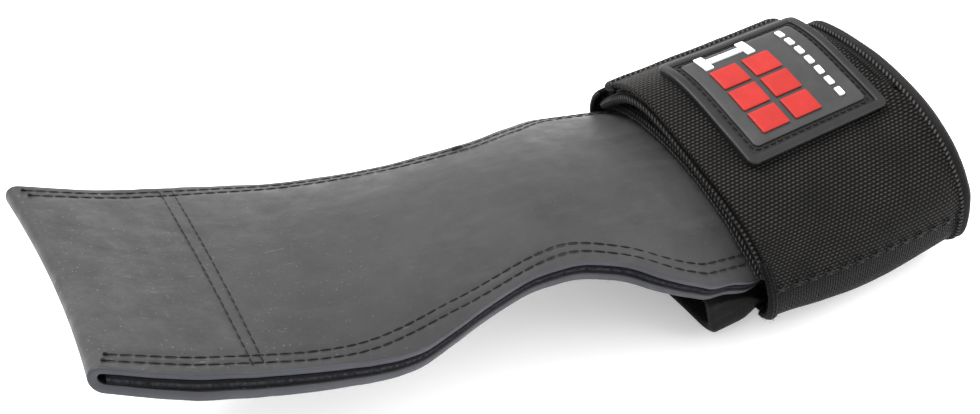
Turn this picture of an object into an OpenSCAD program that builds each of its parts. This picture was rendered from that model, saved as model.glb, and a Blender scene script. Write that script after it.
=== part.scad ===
// Lifting grip: a rubber palm flap sewn into a padded wrist cuff that a
// hook-and-loop strap closes. All sizes are in millimetres.
// Frame: +X runs along the cuff from the flap side to the arm side, +Y across
// the cuff, +Z up. The origin is on the cuff's flat underside, mid-length.

/* [Palm flap] */
// Half width of the flap at its folded tip
tip_half = 47.3; // [40:0.1:52]
// Half width of the flap at its waist
waist_half = 33.1; // [28:0.1:38]
// Half width of the flap where it enters the cuff
root_half = 46.5; // [42:0.1:50]
// Thickness of the rubber on the grip side
top_t = 2.2; // [1.5:0.1:3]
// Thickness of the felt core
core_t = 2.2; // [1.5:0.1:3]
// Thickness of the rubber on the underside
under_t = 3.1; // [2:0.1:4]
// How far the flap twists between its tip and the cuff's mouth, in degrees
twist = 8; // [0:0.1:12]

/* [Flap attitude at the cuff] */
// Roll of the cuff against the flap's tip, in degrees
cuff_roll = 15.6; // [5:0.1:20]
// Pitch of the cuff against the flap, in degrees
cuff_pitch = 14; // [8:0.1:18]

/* [Cuff] */
// Reach of the cuff's oval from its centre line to the strap's fixed side
cuff_near = 48.5; // [46:0.1:54]
// Reach of the cuff's oval from its centre line to the closing side
cuff_far = 51; // [48:0.1:55]
// Height of the cuff's oval above its centre line
cuff_up = 25.5; // [24:0.1:29]
// Depth of the cuff's oval below its centre line, before its underside flattens
cuff_down = 20; // [19:0.1:24]
// Length of the strap along the arm
strap_len = 68; // [66:0.5:76]
// Thickness of the strap webbing
web_t = 2; // [1.5:0.1:2.5]
// Thickness of the wrist pad
pad_t = 3; // [2.5:0.1:4]
// How far the lower pad stands out in front of the strap
pad_lip = 17; // [12:0.5:20]

/* [Label] */
// Length of the label's sides along the cuff
label_len = 49.6; // [46:0.1:54]
// Height of the label's plate over the strap
label_t = 1.6; // [1:0.1:2.2]

/* [Hidden] */

rubber_grey = [0.36, 0.36, 0.37];
rubber_under = [0.42, 0.42, 0.46];
felt_black = [0.09, 0.09, 0.11];
web_black = [0.16, 0.15, 0.15];
knit_black = [0.12, 0.11, 0.11];
thread_black = [0.07, 0.07, 0.08];

// ---- the flap's surface -------------------------------------------------
// Stations along the flap: [distance from the tip, value]
flap_end = 204;
hinge_at = 131;
flap_t = top_t + core_t + under_t;
half_widths = [[0, tip_half], [30, tip_half], [66, 46.6], [98, 39.5], [hinge_at, waist_half],
    [149, 38.4], [162, 46], [178, root_half + 0.5], [188, 44], [flap_end, 38]];
twists = [[0, 0], [60, twist * 0.32], [hinge_at, twist * 0.7], [184, twist], [flap_end, 11]];
sags = [[0, 0], [31, -8.3], [67, -10.7], [102, -6.7], [138, -1.7], [186, -0.9], [flap_end, 2.6]];
arches = [[0, 0.0013], [44, 0.0019], [107, 0.0094], [151, 0.0096], [190, 0.0122], [flap_end, 0.014]];

// Beyond the half width, the sheet's free margin grows on the strap's fixed side,
// and on the closing side the heel narrows a little, to tuck inside the strap
near_margins = [[0, 0], [60, 0.4], [98, 1.8], [182, 1.8], [flap_end, 0]];
far_trims = [[0, 0], [140, 0], [178, 3], [188, 3], [flap_end, 2]];
function far_trim(s, side) = side > 0 ? smooth(far_trims, s) : 0;
function half_width(s, side) =
    smooth(half_widths, s) - far_trim(s, side) + (side < 0 ? smooth(near_margins, s) : 0);

// Smooth curve through stations: cubic pieces with the neighbours' mean slope
function slope_at(p, i) =
    let (a = max(i - 1, 0), b = min(i + 1, len(p) - 1)) (p[b][1] - p[a][1]) / (p[b][0] - p[a][0]);
function piece_of(p, s, i = 0) = i >= len(p) - 2 || s < p[i + 1][0] ? i : piece_of(p, s, i + 1);
function smooth(p, s) =
    let (i = piece_of(p, s), h = p[i + 1][0] - p[i][0], u = (s - p[i][0]) / h)
    p[i][1] * (1 + 2 * u) * (1 - u) ^ 2 + slope_at(p, i) * h * u * (1 - u) ^ 2
        + p[i + 1][1] * u ^ 2 * (3 - 2 * u) + slope_at(p, i + 1) * h * u ^ 2 * (u - 1);

// A point of the arched, twisted flap: s from the tip, t across, h over the grip face
function arch_drop(s, t, h) =
    let (k = smooth(arches, s)) (1 / k + h) * cos(k * t * 180 / PI) - 1 / k;
function on_flap(s, t, h) =
    let (k = smooth(arches, s), y = (1 / k + h) * sin(k * t * 180 / PI), z = arch_drop(s, t, h),
        a = smooth(twists, s))
    [s, y * cos(a) - z * sin(a), y * sin(a) + z * cos(a) + smooth(sags, s)];

// The flap bends at its waist on a knuckle centred in the arch
knuckle_h = -6.35;
knuckle_r = 6.8;
knuckle_gap = 1;
function knuckle(t, h, r) =
    let (d = arch_drop(hinge_at, t, h) - knuckle_h) hinge_at + sqrt(max(r * r - d * d, 0.2));

// Solid between an outer and an inner path of [s, h] pairs, swept across the flap.
// ends: "tip" keeps s, "palm" stretches the last s to the knuckle, "heel" the first.
function stretch(s, t, h, ends) =
    ends == "palm" ? s * knuckle(t, h, knuckle_r) / hinge_at
    : ends == "heel" ? flap_end - (flap_end - s) * (flap_end - knuckle(t, h, knuckle_r + knuckle_gap))
        / (flap_end - hinge_at)
    : s;
function rail(path, v, inset, ends) =
    [for (q = path) let (t = v * (half_width(q[0], v) - inset))
        on_flap(stretch(q[0], t, q[1], ends), t, q[1])];
module sheet(outer, inner, columns = 14, inset = 0, ends = "tip") {
    n = len(outer);
    ring = 2 * n;
    points = [for (c = [0:columns]) let (v = 2 * c / columns - 1)
        each concat(rail(outer, v, inset, ends), rail(inner, v, inset, ends))];
    function at(c, i, side) = c * ring + side * n + i;
    function quad(a, b, c, d) = [[a, b, c], [a, c, d]];
    faces = concat(
        [for (c = [0:columns - 1], i = [0:n - 2])
            each quad(at(c, i, 0), at(c, i + 1, 0), at(c + 1, i + 1, 0), at(c + 1, i, 0))],
        [for (c = [0:columns - 1], i = [0:n - 2])
            each quad(at(c, i, 1), at(c + 1, i, 1), at(c + 1, i + 1, 1), at(c, i + 1, 1))],
        [for (i = [0:n - 2]) each quad(at(0, i, 0), at(0, i, 1), at(0, i + 1, 1), at(0, i + 1, 0))],
        [for (i = [0:n - 2]) each quad(at(columns, i, 0), at(columns, i + 1, 0),
            at(columns, i + 1, 1), at(columns, i, 1))],
        [for (c = [0:columns - 1]) each quad(at(c, 0, 0), at(c + 1, 0, 0), at(c + 1, 0, 1), at(c, 0, 1))],
        [for (c = [0:columns - 1])
            each quad(at(c, n - 1, 0), at(c, n - 1, 1), at(c + 1, n - 1, 1), at(c + 1, n - 1, 0))]);
    in_flap_place() polyhedron(points, faces);
}

// Where the flap's own frame sits: the cuff's centre line seen from the flap's tip
cuff_seen = [185.6, -4.9, -17.8];
cuff_turn = 1.2;
module in_flap_place() {
    translate([-strap_len / 2, 0, cuff_mid]) rotate([-cuff_roll, 0, 0]) rotate([0, cuff_pitch, 0])
        rotate([0, 0, -cuff_turn]) translate(-cuff_seen) children();
}

// ---- palm part of the flap ----------------------------------------------
fold_r = flap_t / 2;
palm_steps = 22;
function run(from, to, steps, h) = [for (i = [0:steps]) [from + (to - from) * i / steps, h]];
function back(list) = [for (i = [len(list) - 1:-1:0]) list[i]];
// One leg of a folded path, the turn round the tip, and the other leg
function fold_path(r, h_top, h_under) = concat(
    back(run(fold_r, hinge_at, palm_steps, h_top)),
    [for (a = [30:30:150]) [fold_r - r * sin(a), (h_top + h_under) / 2 + r * cos(a)]],
    run(fold_r, hinge_at, palm_steps, h_under));

module grip_sheet_palm() {
    color(rubber_grey) sheet(fold_path(fold_r, 0, -flap_t),
        fold_path(core_t / 2, -top_t, -top_t - core_t), ends = "palm");
}
core_inset = 0.6;
leaf_gap = 0.05;
core_high = -top_t - leaf_gap;
core_low = -top_t - core_t + leaf_gap;
module felt_core_palm() {
    color(felt_black) sheet(run(fold_r, hinge_at, palm_steps, core_high),
        run(fold_r, hinge_at, palm_steps, core_low), inset = core_inset, ends = "palm");
}

// ---- stitching on the flap ----------------------------------------------
row_outer = 2.9;
row_inner = 5.8;
thread_w = 0.8;
thread_lift = 0.08;
thread_h = 0.35;
module edge_row(from, to, steps, inset, side) {
    function edge(s, h, d) =
        on_flap(s, side * (smooth(half_widths, s) - far_trim(s, side) - inset + d), h);
    ring = 4;
    stations = [for (i = [0:steps]) from + (to - from) * i / steps];
    points = [for (s = stations) each [edge(s, thread_lift, -thread_w / 2), edge(s, thread_lift, thread_w / 2),
        edge(s, thread_h, thread_w / 2), edge(s, thread_h, -thread_w / 2)]];
    thread(points, ring, steps, side > 0);
}
// A four-sided thread through rings of points
module thread(points, ring, steps, flip) {
    function turn(f) = flip ? [f[2], f[1], f[0]] : f;
    faces = concat(
        [for (i = [0:steps - 1], j = [0:ring - 1])
            let (a = i * ring + j, b = i * ring + (j + 1) % ring)
            each [turn([a, b, b + ring]), turn([a, b + ring, a + ring])]],
        [turn([0, 2, 1]), turn([0, 3, 2])],
        [turn([steps * ring, steps * ring + 1, steps * ring + 2]),
            turn([steps * ring, steps * ring + 2, steps * ring + 3])]);
    in_flap_place() polyhedron(points, faces);
}
module palm_edge_stitching() {
    color(thread_black) for (side = [-1, 1], inset = [row_outer, row_inner])
        edge_row(5, hinge_at - 3, 20, inset, side);
}
cross_at = 40.6;
cross_gap = 3.2;
module cross_row(s) {
    steps = 12;
    reach = smooth(half_widths, s) - row_inner - 1;
    points = [for (i = [0:steps]) let (t = reach * (2 * i / steps - 1))
        each [on_flap(s - thread_w / 2, t, thread_lift), on_flap(s + thread_w / 2, t, thread_lift),
            on_flap(s + thread_w / 2, t, thread_h), on_flap(s - thread_w / 2, t, thread_h)]];
    thread(points, 4, steps, false);
}
module palm_cross_stitching() {
    color(thread_black) for (i = [0, 1]) cross_row(cross_at + i * cross_gap);
}

// ---- heel part of the flap, sewn into the cuff ----------------------------
heel_steps = 14;
module heel_layer(h_top, h_under, inset) {
    sheet(run(hinge_at, flap_end, heel_steps, h_top), run(hinge_at, flap_end, heel_steps, h_under),
        inset = inset, ends = "heel");
}
module grip_sheet_heel() { color(rubber_grey) heel_layer(0, -top_t, 0); }
module felt_core_heel() { color(felt_black) heel_layer(core_high, core_low, core_inset); }
module under_sheet_heel() { color(rubber_under) heel_layer(-top_t - core_t, -flap_t, 0); }
mouth_at = 184.1;
mouth_bow = 3.5;
module heel_edge_stitching() {
    color(thread_black) for (side = [-1, 1], inset = [row_outer, row_inner])
        edge_row(hinge_at + 9, mouth_at - 1, 12, inset, side);
}
// Everything that the flap fills, and all above it, with a small clearance
flap_clear = 0.3;
module flap_space(h_top) {
    sheet(run(150, flap_end + 0.5, 9, h_top), run(150, flap_end + 0.5, 9, -flap_t - flap_clear),
        columns = 8, inset = -flap_clear);
}

// Knitted binding laid over the flap along the cuff's mouth
binding_h = 2.9;
binding_w = 4.6;
module front_binding() {
    steps = 16;
    ring = 8;
    points = [for (i = [0:steps]) let (v = 2 * i / steps - 1, t = v * (half_width(mouth_at, v) - 0.5),
            s = mouth_at + mouth_bow * v * v + 0.8)
        for (j = [0:ring - 1]) let (a = 360 * j / ring + 22.5)
            on_flap(s + binding_w / 2 * cos(a) / cos(22.5), t,
                flap_clear / 2 + binding_h / 2 * (1 - sin(a) / cos(22.5)))];
    color(knit_black) thread_tube(points, ring, steps);
}
module thread_tube(points, ring, steps) {
    faces = concat(
        [for (i = [0:steps - 1], j = [0:ring - 1])
            let (a = i * ring + j, b = i * ring + (j + 1) % ring)
            each [[a, b, b + ring], [a, b + ring, a + ring]]],
        [for (j = [1:ring - 2]) [0, j + 1, j]],
        [for (j = [1:ring - 2]) [steps * ring, steps * ring + j, steps * ring + j + 1]]);
    in_flap_place() polyhedron(points, faces);
}

// ---- the cuff's oval ------------------------------------------------------
// Its quarters differ in reach and in squareness: the closing side droops most
near_up_power = 2.5;
far_up_power = 2;
down_power = 2.2;
flat_cut = 1;
cuff_mid = cuff_down - flat_cut;
function signed_pow(v, p) = sign(v) * abs(v) ^ p;
function oval_point(far, near, up, down, a) =
    let (power = sin(a) < 0 ? down_power : cos(a) < 0 ? near_up_power : far_up_power)
    [(cos(a) > 0 ? far : near) * signed_pow(cos(a), 2 / power),
        (sin(a) > 0 ? up : down) * signed_pow(sin(a), 2 / power)];
// The strap and the closure's padding stand off the oval over its closing side
tail_rise = 4;
rise_at = 63;
rise_spread = 24;
function stand_off(a) = tail_rise * exp(-((a - rise_at) / rise_spread) ^ 2);
// Points of the oval a given depth inside the webbing's face; 0 is +Y, 90 is up
function oval(depth, from, to, step = 4, rise = 1) =
    let (n = ceil(abs(to - from) / step))
    [for (i = [0:n]) let (a = from + (to - from) * i / n,
            q = oval_point(cuff_far - depth, cuff_near - depth, cuff_up - depth, cuff_down - depth, a),
            out = [q[0], 1.6 * q[1]], r = q + rise * stand_off(a) * out / norm(out))
        [r[0], max(r[1], max(depth, 0) - cuff_mid)]];
module along_x(x0, x1) {
    translate([x0, 0, cuff_mid]) rotate([90, 0, 90]) linear_extrude(x1 - x0) children();
}
// Curved band of the cuff's wall between two depths and two angles
module band(x0, x1, outer, inner, from, to) {
    along_x(x0, x1) polygon(concat(oval(outer, from, to), oval(inner, to, from)));
}
module hoop(x0, x1, outer, inner) {
    along_x(x0, x1) difference() {
        polygon(oval(outer, 0, 356, rise = 0));
        polygon(oval(inner, 0, 356, rise = 0));
    }
}

strap_front = -strap_len / 2;
strap_rear = strap_len / 2;
peel_angle = 114;
seam_angle = 176;
tail_angle = 42;
// The free end of the strap is narrower than the rest
tail_rear = strap_rear - 3.4;

// Pad that lines the loop; its top passes below the flap
pad_rise = 7;
pad_side = 3;
pad_floor = web_t + 0.2;
pad_gap = 1.3;
module pad_oval(depth) {
    polygon([for (a = [0:5:355]) oval_point(cuff_far - pad_side - depth, cuff_near - pad_side - depth,
        pad_rise - depth, cuff_mid - pad_floor - depth, a)]);
}
module wrist_pad() {
    color(knit_black) intersection() {
        along_x(strap_front - pad_lip, strap_rear + 0.3) difference() {
            pad_oval(0);
            pad_oval(pad_t);
        }
        under_flap_barrel();
    }
}
// The round space under the flap's arch at the cuff
module under_flap_barrel() {
    arch_r = 1 / smooth(arches, mouth_at);
    in_flap_place() translate([mouth_at, 0, smooth(sags, mouth_at)])
        rotate([twist, 0, 0]) translate([0, 0, -arch_r]) rotate([0, 90, 0])
        cylinder(r = arch_r - flap_t - pad_gap, h = 300, center = true, $fn = 120);
}
module base_webbing() {
    color(web_black) band(strap_front, strap_rear, 0, web_t, seam_angle + 1, 360 + 22);
}
module wrist_strap() {
    color(web_black) band(strap_front, strap_rear, 0, web_t, peel_angle + 0.6, seam_angle);
}
module strap_edge_binding() {
    color(knit_black) band(strap_front - 1.4, strap_front, 0, web_t + 0.4, 140, 205);
}
module seam_stitching() {
    count = 13;
    pitch = 5.4;
    at = oval(0, seam_angle - 4, seam_angle - 3)[0];
    color(thread_black) for (i = [0:count - 1], lean = [-1, 1])
        translate([(i - (count - 1) / 2) * pitch, at[0] + 0.1, cuff_mid + at[1]])
            rotate([-14, 0, 0]) rotate([0, 40 * lean, 0]) cube([2.8, 0.5, 0.5], center = true);
}

// ---- closure on top of the cuff -------------------------------------------
tape_gap = 0.3;
hook_t = 0.8;
loop_t = 1;
panel_t = 3;
hook_depth = web_t;
loop_depth = hook_depth + hook_t + tape_gap;
panel_depth = loop_depth + loop_t;
module loop_tape() {
    color(felt_black) band(strap_front + 3, strap_rear - 1, loop_depth, panel_depth, 30, peel_angle - 3);
}
module closure_panel() {
    color(knit_black) difference() {
        band(strap_front + 3, strap_rear - 0.5, panel_depth, panel_depth + panel_t, 24, 140);
        flap_space(0.3);
    }
}
module panel_binding() {
    color(knit_black) difference() {
        band(strap_front + 1, strap_front + 3, panel_depth - 0.5, panel_depth + panel_t, 26, 138);
        flap_space(0.3);
    }
}
rim_w = 3;
module rear_binding() {
    color(knit_black) hoop(strap_rear + 0.6, strap_rear + 0.6 + rim_w, 0, 5.6);
}
module rear_piping() {
    color(web_black) hoop(strap_rear, strap_rear + 0.6, 0, 1.6);
}

// ---- peeling end of the strap ---------------------------------------------
module strap_tail() {
    color(web_black) band(strap_front, tail_rear, 0, web_t, tail_angle, peel_angle);
}
module tail_end_binding() {
    color(knit_black) band(strap_front, tail_rear, -0.4, web_t + 0.5, tail_angle - 4, tail_angle);
}
module hook_tape() {
    color(felt_black) band(strap_front + 4, tail_rear - 2, hook_depth, hook_depth + hook_t,
        tail_angle + 2, 98);
}

// ---- label on the peeling end -----------------------------------------------
label_x0 = strap_front + 11.5;
label_near = 104.9;
label_far = 57.2;
rim_h = 0.7;
field_h = 0.5;
mark_h = 0.6;
layer_gap = 0.06;
module label_band(x_in, angle_in, low, high) {
    band(label_x0 + x_in, label_x0 + label_len - x_in, -high, -low,
        label_far + angle_in, label_near - angle_in);
}
module label_plate() { color(rubber_grey) label_band(0, 0, 0, label_t); }
module label_rim() {
    color(rubber_grey) difference() {
        label_band(0, 0, label_t, label_t + rim_h);
        label_band(3, 3.2, label_t - 1, label_t + rim_h + 1);
    }
}
module label_stitching() {
    color(thread_black) difference() {
        label_band(3.6, 3.8, label_t + layer_gap, label_t + 0.35);
        label_band(4.3, 4.5, label_t - 1, label_t + 1);
    }
}
module label_field() {
    color(rubber_grey) label_band(4.9, 5.1, label_t + layer_gap, label_t + field_h);
}
// Raised marks stand on the field, each given by its place along X and its angles
mark_low = label_t + field_h + layer_gap;
module mark(x0, x1, from, to) {
    band(label_x0 + x0, label_x0 + x1, -mark_low - mark_h, -mark_low, from, to);
}
module label_bars() {
    block = [9.5, 7.2];
    pitch = [12, 8.6];
    color("indianred") for (i = [0, 1], j = [0:2]) let (x = 9.5 + pitch[0] * i, a = 73 + pitch[1] * j)
        mark(x, x + block[0], a, a + block[1]);
}
module label_dumbbell() {
    color("white") {
        mark(9.5, 12.5, 63.8, 71.2);
        mark(12.5, 25, 66.2, 68.8);
        mark(25, 28, 63.8, 71.2);
    }
}
module label_dashes() {
    color("white") for (i = [0:6]) mark(38.5, 40.5, 64.5 + 5 * i, 67.7 + 5 * i);
}

grip_sheet_palm();
felt_core_palm();
palm_edge_stitching();
palm_cross_stitching();
grip_sheet_heel();
under_sheet_heel();
felt_core_heel();
heel_edge_stitching();
front_binding();
wrist_pad();
base_webbing();
wrist_strap();
strap_edge_binding();
closure_panel();
panel_binding();
loop_tape();
rear_binding();
rear_piping();
seam_stitching();
strap_tail();
tail_end_binding();
hook_tape();
label_plate();
label_rim();
label_field();
label_stitching();
label_bars();
label_dumbbell();
label_dashes();
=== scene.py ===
# Lifting grip: a folded rubber palm flap sewn into a padded wrist cuff with a hook-and-loop strap.
# Shapes are worked out in millimetres in the part's frame and stored in metres.
import math

import bmesh
import bpy
import numpy as np
from mathutils import Matrix, Vector, noise


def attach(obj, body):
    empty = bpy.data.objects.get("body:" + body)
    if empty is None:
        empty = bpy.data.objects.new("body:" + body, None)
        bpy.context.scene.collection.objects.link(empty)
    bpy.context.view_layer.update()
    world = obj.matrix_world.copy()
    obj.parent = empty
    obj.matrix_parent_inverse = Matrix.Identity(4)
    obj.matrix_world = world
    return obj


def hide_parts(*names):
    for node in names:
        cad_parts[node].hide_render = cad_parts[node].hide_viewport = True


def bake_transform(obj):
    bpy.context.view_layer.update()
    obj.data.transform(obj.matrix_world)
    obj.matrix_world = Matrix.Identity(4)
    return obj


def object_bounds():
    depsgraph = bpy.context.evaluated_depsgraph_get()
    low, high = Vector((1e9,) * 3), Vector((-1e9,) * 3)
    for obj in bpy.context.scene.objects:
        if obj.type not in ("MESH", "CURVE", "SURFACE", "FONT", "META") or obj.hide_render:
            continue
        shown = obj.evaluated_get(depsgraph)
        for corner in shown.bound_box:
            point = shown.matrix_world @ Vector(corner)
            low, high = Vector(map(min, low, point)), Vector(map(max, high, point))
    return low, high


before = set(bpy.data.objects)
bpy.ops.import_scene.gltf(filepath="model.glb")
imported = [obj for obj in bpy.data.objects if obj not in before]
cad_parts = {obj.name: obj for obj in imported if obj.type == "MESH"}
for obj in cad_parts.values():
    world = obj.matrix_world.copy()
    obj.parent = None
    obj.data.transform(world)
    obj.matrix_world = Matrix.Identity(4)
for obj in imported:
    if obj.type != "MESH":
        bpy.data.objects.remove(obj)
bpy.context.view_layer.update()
MM = 0.001
rng = np.random.default_rng(11)

TOP_T, CORE_T, UNDER_T = 1.9, 2.9, 2.7  # the flap's top leaf, felt and under leaf
FLAP_T = TOP_T + CORE_T + UNDER_T
EDGE_V = 200  # edges and linings start here in UV, clear of their piece's face


# ---- shader building ---------------------------------------------------------
class Shade:
    """A node material built round one Principled shader, in the piece's own millimetre UV."""

    def __init__(self, name, roughness=0.6, specular=0.5, sheen=0.0, sheen_roughness=0.5):
        self.material = bpy.data.materials.new(name)
        self.material.use_nodes = True
        self.tree = self.material.node_tree
        self.tree.nodes.clear()
        self.bsdf = self.add("ShaderNodeBsdfPrincipled")
        out = self.add("ShaderNodeOutputMaterial")
        self.tree.links.new(self.bsdf.outputs[0], out.inputs[0])
        self.set("Roughness", roughness)
        self.set("Specular IOR Level", specular)
        self.set("Sheen Weight", sheen)
        self.set("Sheen Roughness", sheen_roughness)
        uv = self.add("ShaderNodeUVMap")
        split = self.add("ShaderNodeSeparateXYZ")
        self.tree.links.new(uv.outputs[0], split.inputs[0])
        self.uv, self.u, self.v = uv.outputs[0], split.outputs[0], split.outputs[1]

    def add(self, kind, **settings):
        node = self.tree.nodes.new(kind)
        for key, value in settings.items():
            setattr(node, key, value)
        return node

    def feed(self, socket, value):
        if isinstance(value, bpy.types.NodeSocket):
            self.tree.links.new(value, socket)
        else:
            socket.default_value = value

    def set(self, name, value):
        self.feed(self.bsdf.inputs[name], value)

    def math(self, op, *values):
        node = self.add("ShaderNodeMath", operation=op)
        for socket, value in zip(node.inputs, values):
            self.feed(socket, value)
        return node.outputs[0]

    def noise(self, per_mm, detail=4.0, roughness=0.6, stretch=(1, 1, 1), offset=0.0):
        mapping = self.add("ShaderNodeMapping")
        self.feed(mapping.inputs["Vector"], self.uv)
        mapping.inputs["Scale"].default_value = stretch
        mapping.inputs["Location"].default_value = (offset, offset * 0.7, 0)
        node = self.add("ShaderNodeTexNoise")
        self.feed(node.inputs["Vector"], mapping.outputs[0])
        node.inputs["Scale"].default_value = per_mm
        node.inputs["Detail"].default_value = detail
        node.inputs["Roughness"].default_value = roughness
        return node.outputs[0]

    def span(self, value, low, high, out_low=0.0, out_high=1.0):
        node = self.add("ShaderNodeMapRange", clamp=True)
        ends = {"Value": value, "From Min": low, "From Max": high, "To Min": out_low, "To Max": out_high}
        for name, v in ends.items():
            self.feed(node.inputs[name], v)
        return node.outputs[0]

    def mix(self, fac, a, b):
        node = self.add("ShaderNodeMix", data_type="RGBA")
        self.feed(node.inputs[0], fac)
        self.feed(node.inputs[6], a if isinstance(a, bpy.types.NodeSocket) else (*a, 1))
        self.feed(node.inputs[7], b if isinstance(b, bpy.types.NodeSocket) else (*b, 1))
        return node.outputs[2]

    def bump(self, height, mm, strength=1.0, under=None):
        node = self.add("ShaderNodeBump")
        node.inputs["Strength"].default_value = strength
        node.inputs["Distance"].default_value = mm * MM
        self.feed(node.inputs["Height"], height)
        if under is not None:
            self.feed(node.inputs["Normal"], under)
        return node.outputs[0]

    def wave(self, value, pitch, phase=0.0):
        """A wave from 0 to 1 that repeats each pitch millimetres."""
        turn = self.math("MULTIPLY", value, 2 * math.pi / pitch)
        turn = self.math("ADD", turn, phase)
        return self.math("MULTIPLY_ADD", self.math("SINE", turn), 0.5, 0.5)


def rubber(name, dark, light, scuffs_and_tip_shade):
    """Cast rubber, cloudy and finely grained. Scuffs and haze gather towards the flap's tip, and the face
    there gets painted shade, darker towards the tip.
    """
    m = Shade(name, specular=0.18)
    cloud = m.noise(0.035, 6, 0.7)
    streaks = m.noise(0.12, 4, 0.7, (0.35, 1.3, 1), 9)
    grain = m.noise(2.6, 3, 0.7)
    colour = m.mix(m.span(cloud, 0.3, 0.7), dark, light)
    colour = m.mix(m.span(streaks, 0.5, 0.75, 0.0, 0.5), colour, tuple(1.35 * c for c in light))
    if scuffs_and_tip_shade:
        from_tip = m.math("ABSOLUTE", m.u)
        near_tip = m.span(from_tip, 4, 100, 1.0, 0.1)
        speck = m.math("MULTIPLY", m.span(m.noise(1.15, 1, 0.5, offset=7), 0.7, 0.74), near_tip)
        scratch = m.span(m.noise(0.55, 3, 0.6, (0.2, 1.7, 1), 3), 0.66, 0.74)
        scratch = m.math("MULTIPLY", scratch, near_tip)
        haze = m.span(m.noise(0.05, 5, 0.7, offset=12), 0.42, 0.7)
        haze = m.math("MULTIPLY", haze, m.span(from_tip, 8, 80, 0.6, 0.0))
        colour = m.mix(haze, colour, (0.07, 0.069, 0.074))
        marks = m.math("MULTIPLY", m.math("MAXIMUM", speck, scratch), 0.6)
        colour = m.mix(marks, colour, (0.32, 0.31, 0.31))
    colour = m.mix(m.span(grain, 0.3, 0.75, 0.0, 0.4), colour, light)
    if scuffs_and_tip_shade:
        # painted shade: the face is mixed towards near black, most at the tip and fading out by 165 mm from
        # it
        colour = m.mix(m.span(from_tip, 30, 165, 0.48, 0.0), colour, (0.008, 0.008, 0.008))
    m.set("Base Color", colour)
    m.set("Roughness", m.span(m.noise(0.12, 4, offset=2), 0.3, 0.7, 0.42, 0.62))
    slow = m.bump(m.noise(0.09, 3), 0.6, 0.4)
    m.set("Normal", m.bump(grain, 0.06, 0.7, slow))
    return m.material


def webbing(name, rib, across, dark, light, along_u=True):
    """Woven webbing: ribs, each broken by the cross yarns, their tops painted lighter as painted highlight.
    rib and across are their pitches in mm.
    """
    m = Shade(name, specular=0.07, sheen=0.01)
    a, b = (m.u, m.v) if along_u else (m.v, m.u)
    row = m.math("FLOOR", m.math("DIVIDE", a, rib))
    shift = m.math("MULTIPLY", row, math.pi)
    ribs = m.wave(a, rib)
    yarns = m.wave(b, across, shift)
    height = m.math("MULTIPLY", m.math("POWER", ribs, 0.6), m.math("MULTIPLY_ADD", yarns, 0.5, 0.5))
    fuzz = m.noise(3.5, 3, 0.7)
    height = m.math("MULTIPLY_ADD", fuzz, 0.35, height)
    # painted highlight: the rib tops are coloured lighter, in patches, than the dark between them
    rib_top_highlight = m.math("POWER", m.span(height, 0.5, 1.2), 1.8)
    patchy_rib_highlight = m.math("MULTIPLY", rib_top_highlight, m.span(m.noise(0.06, 4, offset=5), 0.25, 0.7, 0.35, 1.0))
    m.set("Base Color", m.mix(patchy_rib_highlight, dark, light))
    m.set("Roughness", m.span(fuzz, 0.3, 0.7, 0.45, 0.75))
    m.set("Normal", m.bump(height, 0.4, 1.0))
    return m.material


def knit(name, loop, dark, light, depth=0.25):
    """Knitted fabric: slanted loops in rows along the piece, the raised loop tops painted lighter as painted
    highlight.
    """
    m = Shade(name, roughness=0.85, specular=0.08, sheen=0.03)
    row = m.math("PINGPONG", m.v, loop * 0.6)
    slant = m.math("ADD", m.u, row)
    loops = m.wave(slant, loop)
    wales = m.wave(m.v, loop * 1.2)
    fuzz = m.noise(2.2, 4, 0.75)
    height = m.math("MULTIPLY_ADD", fuzz, 0.9, m.math("MULTIPLY", loops, wales))
    # painted highlight: colour follows the knit's height, lighter on the loop tops and darker in the hollows
    m.set("Base Color", m.mix(m.math("POWER", m.span(height, 0.5, 1.35), 1.5), dark, light))
    m.set("Normal", m.bump(height, depth, 0.9))
    return m.material


def smooth_fabric(name, dark, light, rough=0.55):
    """Close-woven cloth over padding, nearly smooth."""
    m = Shade(name, specular=0.12, sheen=0.03)
    weave = m.math("MULTIPLY", m.wave(m.u, 0.45), m.wave(m.v, 0.45))
    cloud = m.noise(0.15, 4)
    m.set("Base Color", m.mix(m.span(cloud, 0.3, 0.75), dark, light))
    m.set("Roughness", m.span(cloud, 0.3, 0.7, rough, rough + 0.25))
    slow = m.bump(m.noise(0.25, 3, offset=4), 0.5, 0.5)
    m.set("Normal", m.bump(weave, 0.07, 0.6, slow))
    return m.material


def felt(name, dark, light, middle=None):
    """Loose fibres. middle is the colour of a broken paler line along the core's edge."""
    m = Shade(name, roughness=0.95, specular=0.06, sheen=0.03)
    fibres = m.noise(1.6, 5, 0.8)
    colour = m.mix(m.span(fibres, 0.35, 0.75), dark, light)
    if middle is not None:
        from_middle = m.math("ABSOLUTE", m.math("SUBTRACT", m.v, EDGE_V + CORE_T / 2))
        line = m.span(from_middle, 0.2, 0.6, 1.0, 0.0)
        broken = m.span(m.noise(0.9, 3, 0.7, (1, 0, 0), 6), 0.35, 0.65)
        colour = m.mix(m.math("MULTIPLY", line, broken), colour, middle)
    m.set("Base Color", colour)
    m.set("Normal", m.bump(fibres, 0.5, 1.0))
    return m.material


def twisted_thread(name, dark, light):
    """Sewing thread with its plies slanting round it."""
    m = Shade(name, specular=0.15, sheen=0.02)
    plies = m.wave(m.math("ADD", m.u, m.math("MULTIPLY", m.v, 0.8)), 0.55)
    m.set("Base Color", m.mix(plies, dark, light))
    m.set("Roughness", m.span(plies, 0, 1, 0.65, 0.45))
    m.set("Normal", m.bump(plies, 0.12, 0.8))
    return m.material


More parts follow.
